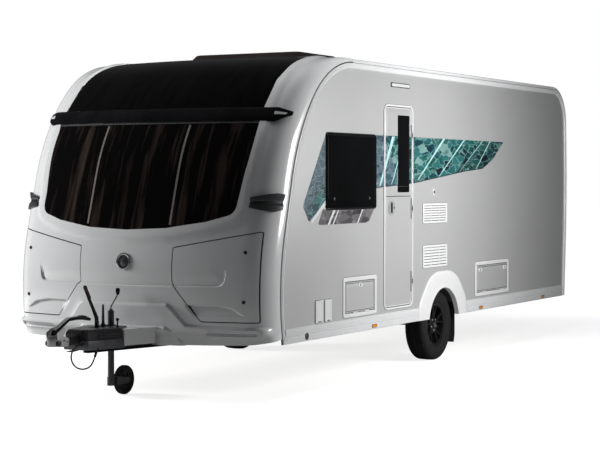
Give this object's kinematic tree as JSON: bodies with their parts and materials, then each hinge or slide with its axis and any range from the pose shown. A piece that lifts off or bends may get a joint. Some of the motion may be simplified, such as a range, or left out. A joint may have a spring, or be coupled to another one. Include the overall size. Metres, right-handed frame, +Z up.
{
  "type": "travel caravan",
  "caption": "Travel caravan with a moulded curved front, dark front glazing, side door, locker hatches, corner steadies, jockey wheel and ball coupling.",
  "frame": {"origin": "middle of the bounding box on the ground", "axes": "+Z up, +Y to the rear along the caravan, +X to the entrance door side"},
  "size_m": [2.31, 7.4, 2.662],
  "materials": {
    "wall_grey": "satin",
    "shell_white": "gloss",
    "glazing": "gloss",
    "trim_grey": "matte",
    "lamp_red": "gloss",
    "rail_white": "satin",
    "trim_white": "satin",
    "hatch_grey": "satin",
    "lamp_clear": "gloss",
    "plywood": "matte",
    "galvanised": "satin",
    "tyre": "matte",
    "rim_black": "gloss",
    "black_steel": "satin",
    "bare_steel": "satin",
    "cover_black": "matte",
    "cable_black": "matte",
    "flap_black": "matte"
  },
  "bodies": {
    "caravan": {"side_wall_near": "wall_grey", "side_wall_off": "wall_grey", "roof_panel": "shell_white", "front_moulding": "shell_white", "front_window": "glazing", "roof_pane": "glazing", "front_bar": "glazing", "grab_handles": "trim_grey", "rear_moulding": "shell_white", "rear_lamps": "lamp_red", "edge_rails": "rail_white", "skirts": "rail_white", "wheel_spats": "trim_white", "lounge_window_near": "glazing", "windows_off": "glazing", "hatch_frames": "trim_white", "fridge_vents": "trim_white", "service_covers": "trim_white", "awning_light": "lamp_clear", "rooflight_frame": "trim_white", "floor_panel": "plywood", "wheel_boxes": "trim_grey", "locker_bulkhead": "plywood", "chassis_rail_near": "galvanised", "chassis_rail_off": "galvanised", "drawbar_near": "galvanised", "drawbar_off": "galvanised", "cross_members": "galvanised", "axle_beam": "galvanised", "swing_arms": "galvanised", "overrun_housing": "black_steel", "coupling_head": "bare_steel", "coupling_lever": "cover_black", "handbrake_lever": "black_steel", "jockey_clamp": "black_steel", "drawbar_cover": "cover_black", "hitch_cable": "cable_black", "steady_brackets": "galvanised", "seat_block": "plywood", "mud_flaps": "flap_black"},
    "wheel_near": {"tyre_near": "tyre", "wheel_rim_near": "rim_black"},
    "wheel_off": {"tyre_off": "tyre", "wheel_rim_off": "rim_black"},
    "jockey_tube": {"jockey_tube": "galvanised"},
    "jockey_fork": {"jockey_fork": "galvanised"},
    "jockey_wheel": {"jockey_wheel": "tyre"},
    "steady_front_near": {"steady_front_near": "galvanised"},
    "steady_front_off": {"steady_front_off": "galvanised"},
    "steady_rear_near": {"steady_rear_near": "galvanised"},
    "steady_rear_off": {"steady_rear_off": "galvanised"},
    "entrance_door": {"entrance_door": "wall_grey", "door_window": "glazing"},
    "locker_door_near": {"locker_door_near": "shell_white"},
    "locker_door_off": {"locker_door_off": "shell_white"},
    "front_hatch_door": {"front_hatch_door": "hatch_grey"},
    "rear_hatch_door": {"rear_hatch_door": "hatch_grey"},
    "cassette_hatch_door": {"cassette_hatch_door": "hatch_grey"},
    "rooflight_lid": {"rooflight_lid": "glazing"}
  },
  "joints": [
    {"name": "wheel_near_spin", "type": "hinge", "parent": "caravan", "child": "wheel_near", "pos_m": [0.9925, 0.51, 0.3143], "axis": [1, 0, 0], "continuous": true},
    {"name": "wheel_off_spin", "type": "hinge", "parent": "caravan", "child": "wheel_off", "pos_m": [-0.9925, 0.51, 0.3143], "axis": [1, 0, 0], "continuous": true},
    {"name": "jockey_raise", "type": "slide", "parent": "caravan", "child": "jockey_tube", "axis": [0, 0, 1], "range_m": [0, 0.12]},
    {"name": "jockey_swivel", "type": "hinge", "parent": "jockey_tube", "child": "jockey_fork", "pos_m": [0, -2.957, 0.116], "axis": [0, 0, 1], "continuous": true},
    {"name": "jockey_roll", "type": "hinge", "parent": "jockey_fork", "child": "jockey_wheel", "pos_m": [0, -2.792, 0.11], "axis": [1, 0, 0], "continuous": true},
    {"name": "steady_front_near_drop", "type": "hinge", "parent": "caravan", "child": "steady_front_near", "pos_m": [0.8, -2.11, 0.458], "axis": [-1, 0, 0], "range_deg": [0, 68]},
    {"name": "steady_front_off_drop", "type": "hinge", "parent": "caravan", "child": "steady_front_off", "pos_m": [-0.8, -2.11, 0.458], "axis": [-1, 0, 0], "range_deg": [0, 68]},
    {"name": "steady_rear_near_drop", "type": "hinge", "parent": "caravan", "child": "steady_rear_near", "pos_m": [0.8, 3.35, 0.458], "axis": [1, 0, 0], "range_deg": [0, 68]},
    {"name": "steady_rear_off_drop", "type": "hinge", "parent": "caravan", "child": "steady_rear_off", "pos_m": [-0.8, 3.35, 0.458], "axis": [1, 0, 0], "range_deg": [0, 68]},
    {"name": "entrance_door_swing", "type": "hinge", "parent": "caravan", "child": "entrance_door", "pos_m": [1.146, -0.1565, 1.3765], "axis": [0, 0, 1], "range_deg": [0, 165]},
    {"name": "locker_door_near_swing", "type": "hinge", "parent": "caravan", "child": "locker_door_near", "pos_m": [0.4125, -2.77949, 0.97488], "axis": [0, -0.1463, -0.9892], "range_deg": [0, 95]},
    {"name": "locker_door_off_swing", "type": "hinge", "parent": "caravan", "child": "locker_door_off", "pos_m": [-0.4125, -2.77949, 0.97488], "axis": [0, 0.1463, 0.9892], "range_deg": [0, 95]},
    {"name": "front_hatch_open", "type": "hinge", "parent": "caravan", "child": "front_hatch_door", "pos_m": [1.15, -1.1365, 0.5485], "axis": [0, 1, 0], "range_deg": [0, 140]},
    {"name": "rear_hatch_open", "type": "hinge", "parent": "caravan", "child": "rear_hatch_door", "pos_m": [1.15, 1.642, 0.5555], "axis": [0, 1, 0], "range_deg": [0, 140]},
    {"name": "cassette_hatch_open", "type": "hinge", "parent": "caravan", "child": "cassette_hatch_door", "pos_m": [-1.15, 2.9265, 0.72], "axis": [0, 0, 1], "range_deg": [0, 110]},
    {"name": "rooflight_lift", "type": "hinge", "parent": "caravan", "child": "rooflight_lid", "pos_m": [0, -0.257, 2.599], "axis": [-1, 0, 0], "range_deg": [0, 60]}
  ]
}
